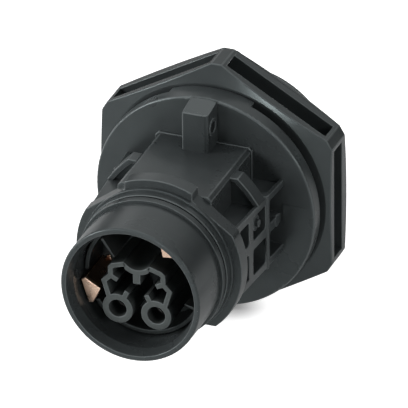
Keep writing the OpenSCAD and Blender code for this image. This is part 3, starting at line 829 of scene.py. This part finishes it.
def addScrew(bm, look, turn, place):
    c, s = math.cos(turn), math.sin(turn)

    def ring(points, y):
        return [bm.verts.new(place + Vector((x * c - z * s, y, x * s + z * c))) for x, z in points]

    top, crown, shank, head = look["top"], look["crown"], look["shank"], look["head"]
    tip, step = top - look["length"], look["crownStep"] * crown
    seat = top - look["headHeight"]
    profile = ((shank * look["tip"], tip), (shank, tip + shank * look["tipRise"]), (shank, seat),
               (head, seat), (head, top - crown), (head - step, top - step), (head - crown, top))
    outer = [ring(circlePoints(r, look["steps"]), y) for r, y in profile]
    for inner, after in zip(outer, outer[1:]):
        bridgeRings(bm, inner, after)
    bm.faces.new(outer[0])
    cross = crossOutline(look["arm"], look["armHalf"])
    mouth = ring(cross, top)
    floor = ring([(x * look["taper"], z * look["taper"]) for x, z in cross], top - look["recess"])
    bridgeRings(bm, mouth, floor)
    bm.faces.new(floor)
    flat = outer[-1] + mouth
    for corners in geometry.tessellate_polygon([[v.co for v in outer[-1]], [v.co for v in mouth]]):
        bm.faces.new([flat[i] for i in corners])


def makeScrews(look):
    bm = blankMesh()
    for angle, turn in zip(look["angles"], look["turns"]):
        a = math.radians(angle)
        addScrew(bm, look, turn, look["ring"] * Vector((math.cos(a), 0, math.sin(a))))
    bmesh.ops.recalc_face_normals(bm, faces=bm.faces)
    finishMesh("plate_screws_dressed", bm, zincSteel, "connector", ["plate_screws"])


makeScrews(plateScrew)

# the pieces that only need soft edges, in millimetres
softPieces = {
    "mating_collar": {"edge": 0.1, "finish": collarPlastic},
    "blade_left": {"edge": 0.14, "finish": copperAlloy},
    "blade_right": {"edge": 0.14, "finish": copperAlloy},
    "blank_upper": {"edge": 0.1, "finish": blankPlastic},
    "blank_lower": {"edge": 0.1, "finish": blankPlastic},
    "socket_left": {"edge": 0.1, "finish": paintedShadeSocketMetal},
    "socket_right": {"edge": 0.1, "finish": paintedShadeSocketMetal},
    "socket_tab_left": {"edge": 0.1, "finish": silverPlate},
    "socket_tab_right": {"edge": 0.1, "finish": silverPlate},
    "tail_plate": {"edge": 0.14, "finish": collarPlastic},
    "panel_gasket": {"edge": 0.12, "finish": sealRubber},
    "insert_seal": {"edge": 0.1, "finish": sealRubber},
}
for node, look in softPieces.items():
    bm = cadCopy(node)
    roundEdges(bm, convexEdges(bm), look["edge"] * mm)
    finishMesh(node + "_dressed", bm, look["finish"], "connector", [node])
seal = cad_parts["collar_seal"]
seal.data.materials.clear()
seal.data.materials.append(sealRubber)
print("pieces made")


# floor, white to the camera and clear from below, with the shadow kept near the nut's foot
floorLook = {"half": 1.6, "white": 0.86, "lift": 0.1, "fadeTo": 9 * mm,
             "foot": (2 * mm, 4.5 * mm), "shine": 0.2}


def rayMasks(tree):
    path = addNode(tree, "ShaderNodeLightPath")
    straight = mathNode(tree, "MAXIMUM", path.outputs["Is Camera Ray"], path.outputs["Is Transmission Ray"])
    return straight, path.outputs["Is Glossy Ray"]


def makeFloor(look):
    half, level = look["half"], cadLow.z
    mesh = bpy.data.meshes.new("paleFloor")
    corners = [(x * half, y * half, level) for x, y in ((-1, -1), (1, -1), (1, 1), (-1, 1))]
    mesh.from_pydata(corners, [], [(0, 1, 2, 3)])
    floor = bpy.data.objects.new("paleFloor", mesh)
    bpy.context.scene.collection.objects.link(floor)
    material = bpy.data.materials.new("paleFloor")
    material.use_nodes = True
    tree = material.node_tree
    tree.nodes.remove(tree.nodes["Principled BSDF"])
    diffuse = addNode(tree, "ShaderNodeBsdfDiffuse", Color=(look["white"],) * 3 + (1.0,))
    glow = addNode(tree, "ShaderNodeEmission")
    both = addNode(tree, "ShaderNodeAddShader")
    where = addNode(tree, "ShaderNodeNewGeometry")
    reach = addNode(tree, "ShaderNodeVectorMath", operation="DISTANCE")
    reach.inputs[1].default_value = look["foot"] + (level,)
    linkUp(tree, (where.outputs["Position"], reach.inputs[0]))
    lift = remap(tree, reach.outputs["Value"], 0, look["fadeTo"], look["lift"], 1.0)
    straight, glossy = rayMasks(tree)
    shown = mathNode(tree, "MULTIPLY", lift, straight)
    shine = mathNode(tree, "MULTIPLY", glossy, look["shine"])
    clear = addNode(tree, "ShaderNodeBsdfTransparent")
    side = addNode(tree, "ShaderNodeMixShader")
    linkUp(tree, (mathNode(tree, "ADD", shown, shine), glow.inputs["Strength"]),
           (diffuse.outputs[0], both.inputs[0]), (glow.outputs[0], both.inputs[1]),
           (where.outputs["Backfacing"], side.inputs[0]), (both.outputs[0], side.inputs[1]),
           (clear.outputs[0], side.inputs[2]),
           (side.outputs[0], tree.nodes["Material Output"].inputs["Surface"]))
    mesh.materials.append(material)


makeFloor(floorLook)

# world: white to the camera; in reflections a pale ceiling above a dim band
worldLook = {"ambient": 0.03, "dim": 0.23, "dimFrom": (0.22, 0.28),
             "ceiling": 0.75, "ceilingFrom": (0.45, 0.55)}


def makeWorld(look):
    world = bpy.data.worlds.new("studio")
    bpy.context.scene.world = world
    world.use_nodes = True
    tree = world.node_tree
    shade = tree.nodes["Background"]
    place = addNode(tree, "ShaderNodeTexCoord")
    split = addNode(tree, "ShaderNodeSeparateXYZ")
    linkUp(tree, (place.outputs["Generated"], split.inputs[0]))
    low = remap(tree, split.outputs["Z"], *look["dimFrom"], 0, look["dim"])
    high = remap(tree, split.outputs["Z"], *look["ceilingFrom"], 0, look["ceiling"])
    straight, glossy = rayMasks(tree)
    mirrored = mathNode(tree, "MULTIPLY", glossy, mathNode(tree, "ADD", low, high))
    unseen = mathNode(tree, "SUBTRACT", 1.0, mathNode(tree, "MAXIMUM", straight, glossy))
    ambient = mathNode(tree, "MULTIPLY", unseen, look["ambient"])
    shown = mathNode(tree, "ADD", straight, mirrored)
    linkUp(tree, (mathNode(tree, "ADD", shown, ambient), shade.inputs["Strength"]))
    shade.inputs["Color"].default_value = (1, 1, 1, 1)


makeWorld(worldLook)

# lamps by compass (0 on +X, 90 on +Y) and height in degrees, size in metres and power in watts
lampDistance = 0.9
lampLooks = {
    "leftLamp": {"compass": 195, "height": 3, "size": 0.16, "power": 1.0},
    "frontLamp": {"compass": 268, "height": 3, "size": 0.16, "power": 1.25},
    "keyLamp": {"compass": 210, "height": 20, "size": 0.3, "power": 4.1},
    "leftFrontLamp": {"compass": 240, "height": 20, "size": 0.3, "power": 0.8},
    "rightFrontLamp": {"compass": 330, "height": 20, "size": 0.3, "power": 1.3},
    "rightLamp": {"compass": 0, "height": 20, "size": 0.3, "power": 0.4},
    "rearLeftLamp": {"compass": 120, "height": 20, "size": 0.3, "power": 0.15},
    "rearHighLamp": {"compass": 120, "height": 62, "size": 0.4, "power": 0.73},
    "rearLamp": {"compass": 80, "height": 4, "size": 0.3, "power": 2.0},
    "topLamp": {"compass": 0, "height": 88, "size": 0.45, "power": 1.0},
}


def makeLamp(name, look):
    data = bpy.data.lights.new(name, "AREA")
    data.shape = "DISK"
    data.size = look["size"]
    data.energy = look["power"]
    a, e = math.radians(look["compass"]), math.radians(look["height"])
    away = Vector((math.cos(e) * math.cos(a), math.cos(e) * math.sin(a), math.sin(e)))
    lamp = bpy.data.objects.new(name, data)
    lamp.location = away * lampDistance
    lamp.rotation_mode = "QUATERNION"
    lamp.rotation_quaternion = away.to_track_quat("Z", "Y")
    bpy.context.scene.collection.objects.link(lamp)


for lampName, look in lampLooks.items():
    makeLamp(lampName, look)
print("floor, world and lamps made")
